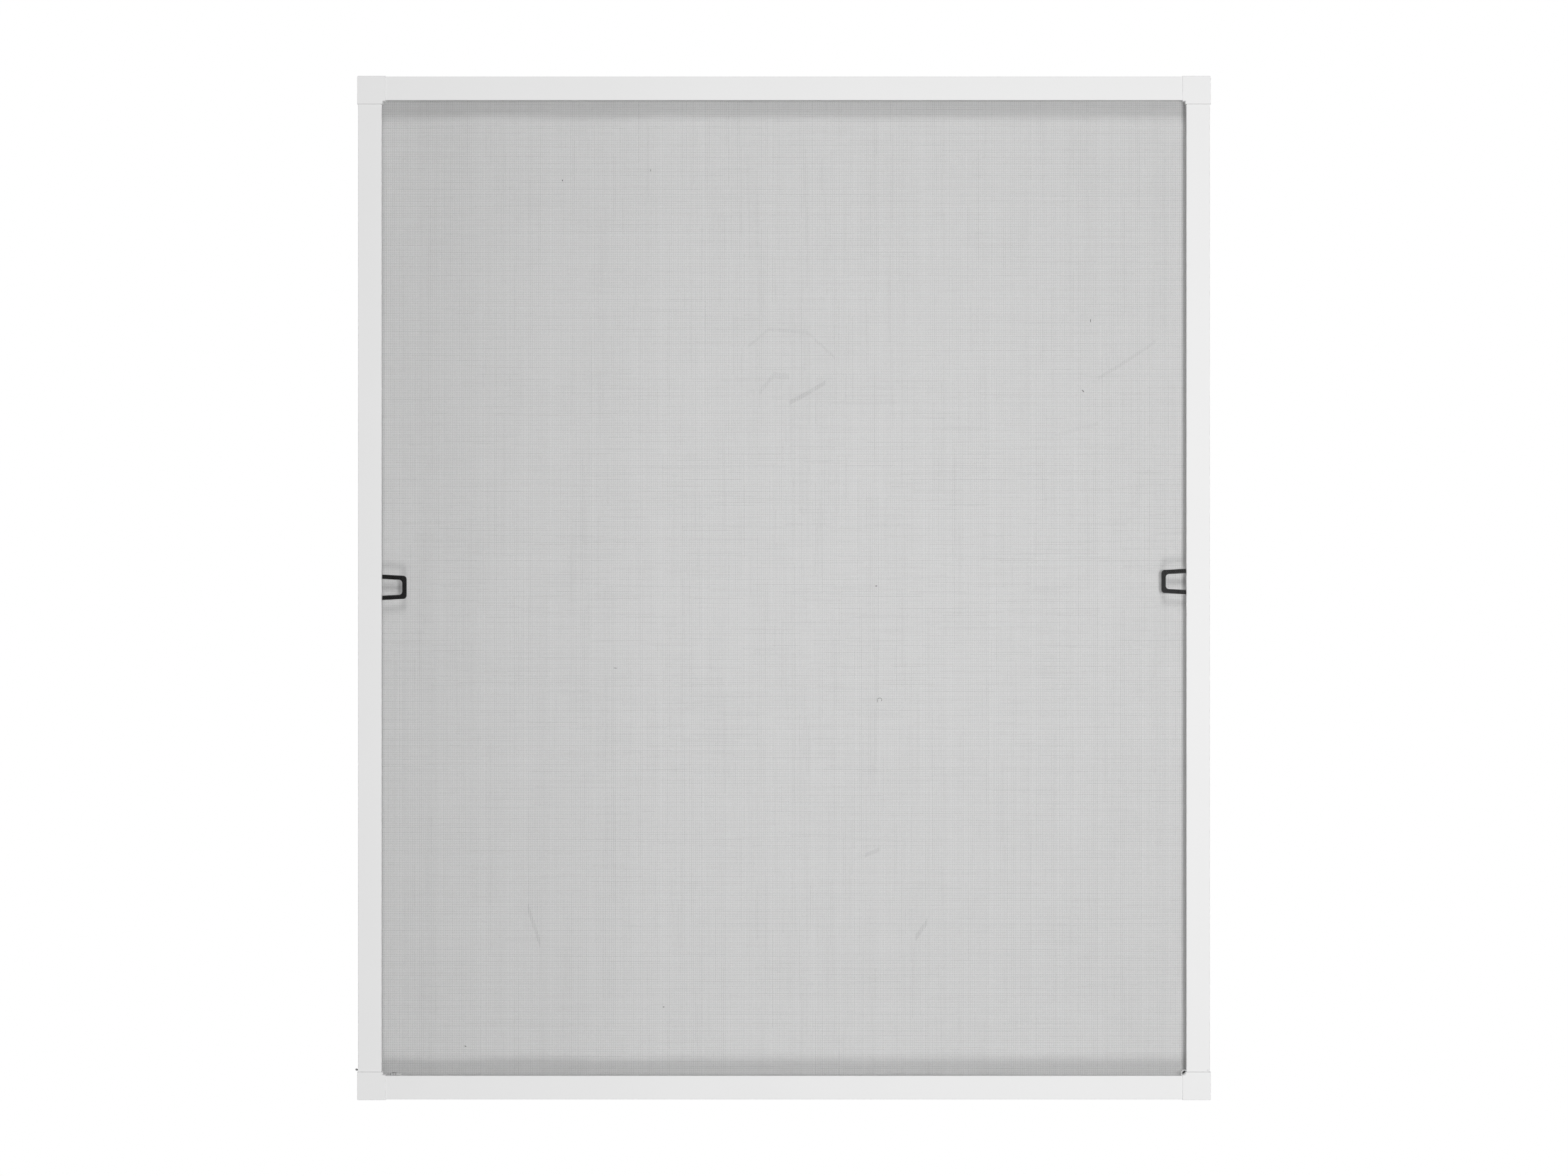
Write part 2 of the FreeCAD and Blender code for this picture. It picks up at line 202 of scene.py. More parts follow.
moulded_plastic, pen, place = new_finish("white_moulded_plastic")
grain = noise(pen, place, PLASTIC_GRAIN_SCALE)
flow = noise(pen, place, PLASTIC_FLOW_SCALE, detail=4.0)
close_finish(pen, {
    "Base Color": blend(pen, flow, PLASTIC_WHITE, PLASTIC_SHADE),
    "Roughness": PLASTIC_ROUGHNESS + PLASTIC_GRAIN_ROUGHNESS * grain,
    "Normal": bump(pen, grain, PLASTIC_GRAIN_DEPTH),
})
wear([corner + "_corner" for corner in CORNERS], moulded_plastic)


def regular_outline(sides, width):
    steps = [2 * math.pi * side / sides for side in range(sides)]
    return [(width / 2 * math.cos(step), width / 2 * math.sin(step)) for step in steps]


def add_tube(shell, points, across, outline, swells=None):
    """Adds a closed tube through the points. The outline is measured across and square to that."""
    corners, faces = shell
    first = len(corners)
    sides = len(outline)
    last = len(points) - 1
    for index, point in enumerate(points):
        along = points[min(index + 1, last)] - points[max(index - 1, 0)]
        off = along.cross(across).normalized()
        swell = swells[index] if swells else 1.0
        corners.extend(point + across * (u * swell) + off * (v * swell) for u, v in outline)
    for ring in range(last):
        start = first + ring * sides
        for side in range(sides):
            after = (side + 1) % sides
            faces.append((start + side, start + after, start + sides + after, start + sides + side))
    faces.append(tuple(reversed(range(first, first + sides))))
    faces.append(tuple(range(first + last * sides, first + (last + 1) * sides)))


def make_piece(name, shell, finish):
    """Makes a piece of its corners and faces, fixed to the frame."""
    mesh = bpy.data.meshes.new(name)
    mesh.from_pydata(shell[0], [], shell[1])
    mesh.materials.append(finish)
    mesh.shade_smooth()
    piece = bpy.data.objects.new(name, mesh)
    bpy.context.scene.collection.objects.link(piece)
    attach(piece, "root")
    return piece


flash_path = []
for step in range(FLASH_STEPS + 1):
    angle = math.radians(FLASH_START + (FLASH_END - FLASH_START) * step / FLASH_STEPS)
    flash_path.append(FLASH_CENTRE + FLASH_RADIUS * Vector((math.cos(angle), 0, math.sin(angle))))
flash = ([], [])
add_tube(flash, flash_path, REARWARD, regular_outline(FLASH_SIDES, FLASH_THICKNESS))
lobe_path = [FLASH_CENTRE + FLASH_LOBE * Vector(point) for point in FLASH_LOBE_POINTS]
lobe_outline = regular_outline(FLASH_SIDES, FLASH_LOBE)
add_tube(flash, lobe_path, REARWARD, lobe_outline, FLASH_LOBE_SWELLS)
make_piece("bottom_right_corner_flash", flash, moulded_plastic)

# A burr stands on the lip of the bottom profile, near its left end, where the tool slipped. It is a
# thin ragged sliver of the same white metal, bent up in front of the mesh, and it pushes the yarns
# aside.

UPWARD = Vector((0, 0, 1))
BURR_LEVEL = -0.0030
BURR_WIDTH = 0.001
BURR_DEPTH = 0.0004
BURR_POINTS = (
    (-0.4682, -0.5718), (-0.4619, -0.5714), (-0.4603, -0.5705), (-0.4584, -0.5700),
    (-0.4565, -0.5702), (-0.4549, -0.5709), (-0.4507, -0.5711), (-0.4489, -0.5718),
)
BURR_SWELLS = (0.5, 0.6, 1.4, 1.8, 1.5, 0.7, 0.6, 0.5)


def square_outline(width, depth):
    return [(width / 2 * u, depth / 2 * v) for u, v in ((1, -1), (1, 1), (-1, 1), (-1, -1))]


burr_path = [Vector((x, BURR_LEVEL, z)) for x, z in BURR_POINTS]
burr = ([], [])
add_tube(burr, burr_path, UPWARD, square_outline(BURR_WIDTH, BURR_DEPTH), BURR_SWELLS)
make_piece("bottom_profile_burr", burr, powder_coat)

# The insect mesh is a plain weave of two-ply glass fibre yarn coated in dark grey vinyl, its edges
# pressed into the groove. The yarns wander and bunch, and their coat is uneven. A few creases,
# slubs and a curl of lint show, and some yarns are frayed at the lower left corner.

SIDEWAYS = Vector((1, 0, 0))
SHEET_THICKNESS = 0.0007
TUCK_THICKNESS = 0.0004
YARN_WIDTH = 0.00010
PLY_DEPTH = 0.000145
PLIES = 2
YARN_DARK = (0.006, 0.006, 0.006, 1)
YARN_LIGHT = (0.15, 0.15, 0.15, 1)
YARN_LIGHT_SHARE = 0.25
YARN_PAINTED_CROSSING_SHARE = 0.45
YARN_UNEVEN_SHARE = 0.5
YARN_UNEVEN_SCALE = 60.0
YARN_ROUGHNESS = 0.5
YARN_UNEVEN_ROUGHNESS = 0.2
YARN_GLOSS = 0.2
WEAVE_SEED = 11
LIP_YARN_GAP = 0.0005
YARN_JITTER = 0.00005
WARP_PITCH = 0.00136
WARP_KNOTS = 7
WARP_BUNCHES = (  # yarns in a bunch, and how far they move
    (7.3, 0.00009), (11.9, 0.00013), (19.1, 0.00014),
    (31.7, 0.00020), (61, 0.00015), (127, 0.00016),
)
WEFT_PITCH = 0.00140
WEFT_KNOTS = 6
WEFT_BUNCHES = (
    (7.3, 0.00006), (11.9, 0.00007), (19.1, 0.00005),
    (31.7, 0.00004), (61, 0.00008), (127, 0.00020),
)
PULL_CENTRE = Vector((-0.4555, 0, -0.5695))
PULL_REACH = 0.0075
PULL_RISE = 0.0012
PULL_STEPS = 12
STRETCH_DEPTH = 0.00004
STRETCH_EXTRAS = (0.00002, 0.00005)
WARP_STRETCHES = 2600
WARP_STRETCH_LENGTHS = (0.02, 0.13)
WEFT_STRETCHES = 5200
WEFT_STRETCH_LENGTHS = (0.012, 0.07)
CREASES = (  # extra width, length along the yarn, and the points that the crease runs through
    (0.00013, 0.0055, ((0.007, 0.2179), (0.028, 0.2288), (0.049, 0.2415))),
    (0.00007, 0.0070, ((-0.030, 0.2280), (-0.012, 0.2500), (0.007, 0.2480))),
    (0.00007, 0.0040, (
        (-0.0427, 0.2830), (-0.0178, 0.3038), (0.0279, 0.2996), (0.0600, 0.2700),
    )),
    (0.00010, 0.0045, ((0.3685, 0.2454), (0.4017, 0.2663), (0.4366, 0.2896))),
    (0.00005, 0.0045, ((0.3187, 0.1787), (0.3685, 0.1929))),
    (0.00014, 0.0080, ((0.1542, -0.4109), (0.1675, -0.3925))),
    (0.00011, 0.0050, ((0.0944, -0.3141), (0.1126, -0.3066))),
    (0.00013, 0.0120, ((-0.3002, -0.3759), (-0.2861, -0.4176))),
)
STRAND_SIDES = 6
SLUB_LIGHT = (0.045, 0.045, 0.045, 1)
SLUBS = (  # x, z, length, width and lean in degrees
    (-0.1566, 0.4902, 0.0030, 0.0006, 90),
    (-0.2601, 0.4784, 0.0019, 0.0009, 90),
    (0.3599, 0.3137, 0.0040, 0.0006, 90),
    (0.3510, 0.2312, 0.0034, 0.0009, -50),
    (0.1083, 0.0023, 0.0023, 0.0010, 8),
    (-0.1980, -0.0940, 0.0042, 0.0006, -8),
    (-0.1413, -0.4918, 0.0020, 0.0008, 25),
    (-0.3741, -0.5378, 0.0027, 0.0008, -25),
)
SLUB_RINGS = (-0.5, -0.25, 0, 0.25, 0.5)
SLUB_SWELLS = (0.3, 0.9, 1.0, 0.9, 0.3)
LINT_WIDTH = 0.00045
LINT_LIFT = 0.000045
LINT_POINTS = (
    (0.1098, -0.1344), (0.1094, -0.1322), (0.1098, -0.1303), (0.1112, -0.1294),
    (0.1132, -0.1292), (0.1147, -0.1300), (0.1146, -0.1318), (0.1140, -0.1330),
)
FRAY_WIDTH = 0.0006
FRAY_LIFT = 0.0014
FRAY_SWELLS = (0.6, 1.0, 0.6)
FRAYS = (  # the loose tip and the root of each frayed end
    ((-0.4605, -0.5691), (-0.4547, -0.5688)),
    ((-0.4617, -0.5715), (-0.4614, -0.5694)),
    ((-0.4587, -0.5713), (-0.4588, -0.5687)),
    ((-0.4556, -0.5714), (-0.4557, -0.5689)),
)


def coordinate(pen, place, axis):
    return pen.node("SeparateXYZ", None, {"Vector": place}, output=axis)


def yarn_finish(name, light):
    """A dark vinyl coat with a painted highlight where a yarn passes over a crossing and painted
    shade where it passes under.
    """
    finish, pen, place = new_finish(name)
    warp_turn = coordinate(pen, place, "X") * (math.pi / WARP_PITCH)
    weft_turn = coordinate(pen, place, "Z") * (math.pi / WEFT_PITCH)
    # Painted highlight and shade: lighter where the yarn passes over a crossing, darker where it
    # passes under.
    painted_crossing_light = pen.node("Math", {"operation": "COSINE"}, {0: warp_turn - weft_turn})
    uneven = noise(pen, place, YARN_UNEVEN_SCALE, detail=3.0)
    share = YARN_LIGHT_SHARE + YARN_PAINTED_CROSSING_SHARE * painted_crossing_light + YARN_UNEVEN_SHARE * uneven
    close_finish(pen, {
        "Base Color": blend(pen, share, YARN_DARK, light),
        "Roughness": YARN_ROUGHNESS + YARN_UNEVEN_ROUGHNESS * uneven,
        "Specular IOR Level": YARN_GLOSS,
    })
    return finish


vinyl_yarn = yarn_finish("grey_vinyl_coated_yarn", YARN_LIGHT)
slub_yarn = yarn_finish("dark_yarn_slub", SLUB_LIGHT)

# The warps stand upright, in front of the wefts, which lie level.
mesh_low, mesh_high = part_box("insect_mesh")
warp_level = mesh_high.y - SHEET_THICKNESS
weft_level = warp_level + PLIES * PLY_DEPTH
warp_end = mesh_high.z - TUCK_THICKNESS / 2
weft_end = mesh_high.x - TUCK_THICKNESS / 2
tuck_end = mesh_low.y + YARN_WIDTH
lip_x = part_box("right_profile")[0].x
lip_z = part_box("top_profile")[0].z
ply_outline = square_outline(YARN_WIDTH, PLY_DEPTH)


def add_yarn(shell, points, across):
    """Adds one yarn, its plies lying one behind the other."""
    for ply in range(PLIES):
        set_back = Vector((0, (ply + 0.5) * PLY_DEPTH, 0))
        add_tube(shell, [point + set_back for point in points], across, ply_outline)


def yarn_lines(reach, lip, pitch, knots, bunches, chance):
    """Where each yarn of one direction lies at even steps along it: bunched and spread as a real
    loom leaves it, with one more yarn caught at each lip."""
    count = int(reach / pitch)
    waves = [
        (spread, 2 * math.pi / period, chance.uniform(0, 2 * math.pi), chance.uniform(-1, 1))
        for period, spread in bunches
    ]
    lines = [[side * (lip - LIP_YARN_GAP)] * knots for side in (-1, 1)]
    for index in range(-count, count + 1):
        jitter = chance.uniform(-YARN_JITTER, YARN_JITTER)
        line = []
        for knot in range(knots):
            drift = sum(
                spread * math.sin(index * turn + start + knot * slip)
                for spread, turn, start, slip in waves
            )
            line.append(max(-reach, min(reach, index * pitch + jitter + drift)))
        lines.append(line)
    return lines


def even_steps(half_length, knots):
    """The even steps along a yarn, from end to end."""
    return [half_length * (2 * knot / (knots - 1) - 1) for knot in range(knots)]


def on_line(line, share):
    """Where a yarn lies at a share of its length."""
    run = share * (len(line) - 1)
    first = min(int(run), len(line) - 2)
    return line[first] + (line[first + 1] - line[first]) * (run - first)


def pulled(x, z):
    """How far the pull at the lower left lifts a weft."""
    near = max(0.0, 1 - abs(z - PULL_CENTRE.z) / WEFT_PITCH)
    spread = max(0.0, 1 - ((x - PULL_CENTRE.x) / PULL_REACH) ** 2)
    return PULL_RISE * near * spread


chance = random.Random(WEAVE_SEED)
weave = ([], [])
warps = yarn_lines(weft_end - YARN_WIDTH, lip_x, WARP_PITCH, WARP_KNOTS, WARP_BUNCHES, chance)
wefts = yarn_lines(warp_end - YARN_WIDTH, lip_z, WEFT_PITCH, WEFT_KNOTS, WEFT_BUNCHES, chance)
for line in warps:
    path = [Vector((x, warp_level, z)) for x, z in zip(line, even_steps(warp_end, WARP_KNOTS))]
    path.insert(0, Vector((line[0], tuck_end, -warp_end)))
    path.append(Vector((line[-1], tuck_end, warp_end)))
    add_yarn(weave, path, SIDEWAYS)
for line in wefts:
    path = [Vector((x, weft_level, z)) for x, z in zip(even_steps(weft_end, WEFT_KNOTS), line)]
    if pulled(PULL_CENTRE.x, line[0]):
        for step in range(PULL_STEPS + 1):
            x = PULL_CENTRE.x + PULL_REACH * (2 * step / PULL_STEPS - 1)
            z = on_line(line, 0.5 + 0.5 * x / weft_end)
            path.insert(1 + step, Vector((x, weft_level, z + pulled(x, z))))
    path.insert(0, Vector((-weft_end, tuck_end, line[0])))
    path.append(Vector((weft_end, tuck_end, line[-1])))
    add_yarn(weave, path, UPWARD)
insect_mesh = make_piece("woven_insect_mesh", weave, vinyl_yarn)
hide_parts("insect_mesh")

stretches = ([], [])


def add_stretch(line, half_length, middle, length, extra, upright):
    """Adds a stretch of a yarn where its coat is thicker."""
    start = max(-half_length, middle - length / 2)
    end = min(half_length, middle + length / 2)
    knots = [step for step in even_steps(half_length, len(line)) if start < step < end]
    points = []
    for run in [start] + knots + [end]:
        aside = on_line(line, 0.5 + 0.5 * run / half_length)
        if upright:
            points.append(Vector((aside, warp_level, run)))
        else:
            points.append(Vector((run, weft_level, aside)))
    outline = square_outline(YARN_WIDTH + extra, STRETCH_DEPTH)
    add_tube(stretches, points, SIDEWAYS if upright else UPWARD, outline)


for count, lines, half_length, lengths, upright in (
    (WARP_STRETCHES, warps, warp_end, WARP_STRETCH_LENGTHS, True),
    (WEFT_STRETCHES, wefts, weft_end, WEFT_STRETCH_LENGTHS, False),
):
    for _ in range(count):
        add_stretch(
            chance.choice(lines), half_length, chance.uniform(-half_length, half_length),
            chance.uniform(*lengths), chance.uniform(*STRETCH_EXTRAS), upright,
        )
for extra, length, points in CREASES:
    for (x0, z0), (x1, z1) in zip(points, points[1:]):
        for line in warps:
            share = (on_line(line, 0.5 + 0.25 * (z0 + z1) / warp_end) - x0) / (x1 - x0)
            if 0 <= share < 1:
                add_stretch(line, warp_end, z0 + share * (z1 - z0), length, extra, True)
thick_stretches = make_piece("mesh_thick_stretches", stretches, vinyl_yarn)

slubs = ([], [])
for x, z, length, width, lean in SLUBS:
    lay = Vector((math.cos(math.radians(lean)), 0, math.sin(math.radians(lean))))
    middle = Vector((x, warp_level, z))
    slub_path = [middle + lay * (length * share) for share in SLUB_RINGS]
    slub_outline = regular_outline(STRAND_SIDES, width)
    add_tube(slubs, slub_path, lay.cross(REARWARD), slub_outline, SLUB_SWELLS)
yarn_slubs = make_piece("mesh_yarn_slubs", slubs, slub_yarn)

lint_path = [Vector((x, warp_level - LINT_LIFT, z)) for x, z in LINT_POINTS]
lint = ([], [])
add_tube(lint, lint_path, REARWARD, regular_outline(STRAND_SIDES, LINT_WIDTH))
lint_curl = make_piece("mesh_lint_curl", lint, slub_yarn)

fray_outline = regular_outline(STRAND_SIDES, FRAY_WIDTH)
frays = ([], [])
for (tip_x, tip_z), (root_x, root_z) in FRAYS:
    tip = Vector((tip_x, warp_level - FRAY_LIFT, tip_z))
    root = Vector((root_x, warp_level, root_z))
    middle = (tip + root) / 2 - Vector((0, FRAY_LIFT / 2, 0))
    across = (root - tip).cross(REARWARD).normalized()
    add_tube(frays, [tip, middle, root], across, fray_outline, FRAY_SWELLS)
frayed_ends = make_piece("mesh_frayed_ends", frays, slub_yarn)

# The splines are soft grey-black vinyl cords, rolled into the groove over the mesh's edge. They
# stay as the frame's solids, with shallow cross marks of the roller on the face that shows from
# behind. The cut end of the right one pokes out over the lip at the lower corner.

SPLINE_DARK = (0.018, 0.018, 0.018, 1)
SPLINE_WORN = (0.05, 0.05, 0.05, 1)
SPLINE_DUST_SCALE = 180.0
SPLINE_MARK_PITCH = 0.0021
SPLINE_MARK_DEPTH = 0.00012
SPLINE_MARK_STRENGTH = 0.7
SPLINE_MARK_SHARE = 0.5
SPLINE_DUST_SHARE = 0.3
SPLINE_ROUGHNESS = 0.5
SPLINE_DUST_ROUGHNESS = 0.25
SPLINE_GLOSS = 0.35
TAIL_WIDTH = 0.0017
TAIL_SIDES = 8
TAIL_POINTS = (
    (0.4732, -0.0018, -0.5650), (0.4712, -0.0024, -0.5662),
    (0.4692, -0.0045, -0.5676), (0.4684, -0.0060, -0.5683),
)

vinyl_cord, pen, place = new_finish("black_vinyl_cord")
roller_run = coordinate(pen, place, "X") + coordinate(pen, place, "Z")
roller_turn = roller_run * (2 * math.pi / SPLINE_MARK_PITCH)
roller_mark = pen.node("Math", {"operation": "COSINE"}, {0: roller_turn})
dust = noise(pen, place, SPLINE_DUST_SCALE, detail=4.0)
spline_relief = SPLINE_MARK_SHARE * roller_mark + SPLINE_DUST_SHARE * dust
close_finish(pen, {
    "Base Color": blend(pen, dust, SPLINE_DARK, SPLINE_WORN),
    "Roughness": SPLINE_ROUGHNESS + SPLINE_DUST_ROUGHNESS * dust,
    "Specular IOR Level": SPLINE_GLOSS,
    "Normal": bump(pen, spline_relief, SPLINE_MARK_DEPTH, SPLINE_MARK_STRENGTH),
})
wear([side + "_spline" for side in SIDES], vinyl_cord)

tail_path = [Vector(point) for point in TAIL_POINTS]
tail_across = (SIDEWAYS + UPWARD).normalized()
tail = ([], [])
add_tube(tail, tail_path, tail_across, regular_outline(TAIL_SIDES, TAIL_WIDTH))
make_piece("right_spline_tail", tail, vinyl_cord)

# The two pull loops are black flexible straps, moulded as one U each. Their feet are trapped
# between the spline and the groove, and the loop lies flat behind the mesh, ready for the fingers.

LOOP_BLACK = (0.001, 0.001, 0.001, 1)
LOOP_WORN = (0.004, 0.004, 0.004, 1)
LOOP_RUB_SCALE = 220.0
LOOP_GRAIN_SCALE = 3000.0
LOOP_GRAIN_DEPTH = 0.00002
LOOP_ROUGHNESS = 0.3
LOOP_RUB_ROUGHNESS = 0.08
LOOP_GLOSS = 0.05

strap_plastic, pen, place = new_finish("black_strap_plastic")
rub = noise(pen, place, LOOP_RUB_SCALE, detail=4.0)
strap_grain = noise(pen, place, LOOP_GRAIN_SCALE)
close_finish(pen, {
    "Base Color": blend(pen, rub, LOOP_BLACK, LOOP_WORN),
    "Roughness": LOOP_ROUGHNESS + LOOP_RUB_ROUGHNESS * rub,
    "Specular IOR Level": LOOP_GLOSS,
    "Normal": bump(pen, strap_grain, LOOP_GRAIN_DEPTH),
})
wear(["left_pull_loop", "right_pull_loop"], strap_plastic)

# The brush seals are strips of grey pile woven into a plastic backing, slid into the slot at each
# profile's rear outer edge. The pile stands out behind the frame and closes its gap to the window.
# At the lower end of the left strip a tuft has worked loose and sticks out past the frame's side.

BACKING_THICKNESS = 0.001
BLOCK_FACES = (
    (0, 2, 3, 1), (4, 5, 7, 6), (0, 1, 5, 4), (2, 6, 7, 3), (0, 4, 6, 2), (1, 3, 7, 5),
)
PILE_SEED = 23
PILE_WIDTH = 0.0024
PILE_FLARE = 1.35
PILE_CORE_WIDTH = 0.0014
PILE_CORE_SHARE = 0.75
PILE_ROWS = (-0.5, -0.17, 0.17, 0.5)
PILE_STEP = 0.0008
PILE_SCATTER = (0.2, 0.8)
PILE_FIBRE = 0.00032
PILE_FIBRE_SIDES = 3
PILE_LEAN = 0.0005
PILE_HEIGHTS = (0.9, 1.0)
PILE_TAPER = (1.0, 0.6)
PILE_DARK = (0.035, 0.035, 0.035, 1)
PILE_LIGHT = (0.21, 0.21, 0.21, 1)
PILE_CLUMP_SCALE = 900.0
PILE_ROUGHNESS = 0.7
PILE_CLUMP_ROUGHNESS = 0.2
PILE_GLOSS = 0.2
TUFT_PALE = (0.60, 0.60, 0.60, 1)
TUFT_SHADE = (0.42, 0.42, 0.42, 1)
TUFT_CLUMP_SCALE = 1500.0
TUFT_FIBRES = 220
TUFT_CENTRE = Vector((-0.5017, -0.003, -0.5651))
TUFT_RADIUS = 0.0016
TUFT_REACHES = (0.6, 1.0)
TUFT_TAPER = (1.0, 0.8)
STALKS = 5
STALK_OUT = 3 * PILE_FIBRE
STALK_LEVEL = 2 * PILE_FIBRE


def pile_finish(name, scale, dark, light):
    """Matt fibres, darker in clumps."""
    finish, pen, place = new_finish(name)
    clump = noise(pen, place, scale, detail=3.0)
    close_finish(pen, {
        "Base Color": blend(pen, clump, dark, light),
        "Roughness": PILE_ROUGHNESS + PILE_CLUMP_ROUGHNESS * clump,
        "Specular IOR Level": PILE_GLOSS,
    })
    return finish


def add_block(shell, low, high):
    """Adds a square block between two corners."""
    corners, faces = shell
    first = len(corners)
    for x in (low.x, high.x):
        for y in (low.y, high.y):
            corners.extend(Vector((x, y, z)) for z in (low.z, high.z))
    faces.extend(tuple(first + corner for corner in face) for face in BLOCK_FACES)


grey_pile = pile_finish("grey_brush_pile", PILE_CLUMP_SCALE, PILE_DARK, PILE_LIGHT)
pale_fluff = pile_finish("pale_tuft_fibre", TUFT_CLUMP_SCALE, TUFT_SHADE, TUFT_PALE)
fibre_outline = regular_outline(PILE_FIBRE_SIDES, PILE_FIBRE)
chance = random.Random(PILE_SEED)
for side in SIDES:
    brush_low, brush_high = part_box(side + "_brush")
    middle = (brush_low + brush_high) / 2
    along, across = (SIDEWAYS, UPWARD) if side in ("bottom", "top") else (UPWARD, SIDEWAYS)
    half_length = (brush_high - brush_low).dot(along) / 2
    backing_top = brush_low.y + BACKING_THICKNESS
    pile_height = brush_high.y - backing_top
    root = Vector((middle.x, backing_top, middle.z))
    strip = ([], [])
    add_block(strip, brush_low, Vector((brush_high.x, backing_top, brush_high.z)))
    core_reach = across * (PILE_CORE_WIDTH / 2) + along * (half_length - PILE_STEP)
    core_top = Vector((0, pile_height * PILE_CORE_SHARE, 0))
    add_block(strip, root - core_reach, root + core_reach + core_top)
    for step in range(int(2 * half_length / PILE_STEP)):
        for row in PILE_ROWS:
            run = (step + chance.uniform(*PILE_SCATTER)) * PILE_STEP - half_length
            foot = root + along * run + across * (row * PILE_WIDTH)
            flare = row * PILE_WIDTH * (PILE_FLARE - 1)
            lean = along * chance.uniform(-PILE_LEAN, PILE_LEAN)
            lean += across * (flare + chance.uniform(-PILE_LEAN, PILE_LEAN))
            tip = foot + lean + Vector((0, pile_height * chance.uniform(*PILE_HEIGHTS), 0))
            add_tube(strip, [foot, tip], across, fibre_outline, PILE_TAPER)
    pile = make_piece(side + "_brush_pile", strip, grey_pile)
    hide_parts(side + "_brush")

tuft = ([], [])
for _ in range(TUFT_FIBRES):
    heading = Vector((chance.gauss(0, 1), chance.gauss(0, 1), chance.gauss(0, 1))).normalized()
    reach = TUFT_RADIUS * chance.uniform(*TUFT_REACHES)
    tip = TUFT_CENTRE + heading * reach
    across = heading.orthogonal().normalized()
    add_tube(tuft, [TUFT_CENTRE, tip], across, fibre_outline, TUFT_TAPER)
strip_low, strip_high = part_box("left_brush")
profile_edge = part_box("left_profile")[0].x
for _ in range(STALKS):
    foot_rise = TUFT_RADIUS * chance.random()
    foot = Vector((strip_high.x, strip_high.y / 2, strip_low.z + foot_rise))
    bend = Vector((profile_edge - STALK_OUT, STALK_LEVEL, foot.z))
    add_tube(tuft, [foot, bend, TUFT_CENTRE], UPWARD, fibre_outline)
make_piece("left_brush_tuft", tuft, pale_fluff)

# The backdrop is the white board that the frame leans close to. It is slightly buckled, has
# painted shade that makes it a little greyer towards its sides, and carries the soft shadows of
# the frame and the loops. It only shows from the front, and it stays inside the frame's outline.

BOARD_GAP = 0.0145
BOARD_INSET = 0.012
BOARD_COLUMNS = 120
BOARD_ROWS = 6
BOARD_WHITE = (0.815, 0.815, 0.815, 1)
BOARD_PAINTED_SHADE = (0.762, 0.762, 0.762, 1)
BOARD_GLOW = 0.12
BOARD_PAINTED_SHADE_START = 0.1
BOARD_PAINTED_SHADE_END = 0.45
BOARD_RIGHT_SHADE_SHARE = 0.4
BUCKLE = 0.0016
BUCKLE_LENGTH = 0.225
BUCKLE_START = -0.319
BUCKLE_SLANT = 0.056
BUCKLE_END = -0.12
BUCKLE_FADE = 0.06


def matt_paint(colour, glow):
    """The sockets of a dull paint that glows a little."""
    return {
        "Base Color": colour,
        "Roughness": 1.0,
        "Specular IOR Level": 0.0,
        "Emission Color": (1, 1, 1, 1),
        "Emission Strength": glow,
    }


white_board, pen, place = new_finish("white_board")
board_x = coordinate(pen, place, "X")
# Painted shade: the board greys towards its left side, and less towards its right.
left_painted_shade, right_painted_shade = [
    pen.node("MapRange", {"interpolation_type": "SMOOTHSTEP"}, {
        "Value": board_x,
        "From Min": side * BOARD_PAINTED_SHADE_START,
        "From Max": side * BOARD_PAINTED_SHADE_END,
    })
    for side in (-1, 1)
]
board_painted_shade = left_painted_shade + BOARD_RIGHT_SHADE_SHARE * right_painted_shade
board_colour = blend(pen, board_painted_shade, BOARD_WHITE, BOARD_PAINTED_SHADE)
board_front = pen.node("BsdfPrincipled", None, matt_paint(board_colour, BOARD_GLOW))
board_back = pen.node("BsdfTransparent")
from_behind = pen.node("NewGeometry", output="Backfacing")
pen.node("OutputMaterial", None, {
    "Surface": pen.node("MixShader", None, {0: from_behind, 1: board_front, 2: board_back}),
})
outline_high = Vector(cad_box[1])
board_corners = []
for row in range(BOARD_ROWS + 1):
    z = (outline_high.z - BOARD_INSET) * (2 * row / BOARD_ROWS - 1)
    for column in range(BOARD_COLUMNS + 1):
        x = (outline_high.x - BOARD_INSET) * (2 * column / BOARD_COLUMNS - 1)
        wave = math.sin(2 * math.pi * (x - BUCKLE_START - BUCKLE_SLANT * z) / BUCKLE_LENGTH)
        fade = 0.5 - 0.5 * math.tanh((x - BUCKLE_END) / BUCKLE_FADE)
        board_corners.append((x, BOARD_GAP + BUCKLE * wave * fade, z))
board_faces = []
for row in range(BOARD_ROWS):
    for column in range(BOARD_COLUMNS):
        corner = row * (BOARD_COLUMNS + 1) + column
        above = corner + BOARD_COLUMNS + 1
        board_faces.append((corner, corner + 1, above + 1, above))
board_mesh = bpy.data.meshes.new("white_board")
board_mesh.from_pydata(board_corners, [], board_faces)
board_mesh.shade_smooth()
board_mesh.materials.append(white_board)
board = bpy.data.objects.new("white_board", board_mesh)
bpy.context.scene.collection.objects.link(board)
board.visible_diffuse = False
board.visible_glossy = False
board.visible_transmission = False
board.visible_shadow = False

# The floor is a pale painted disc that lies well below the frame, out of the photograph's view. It
# casts no shadow of its own, so the lower lamp shines past it.

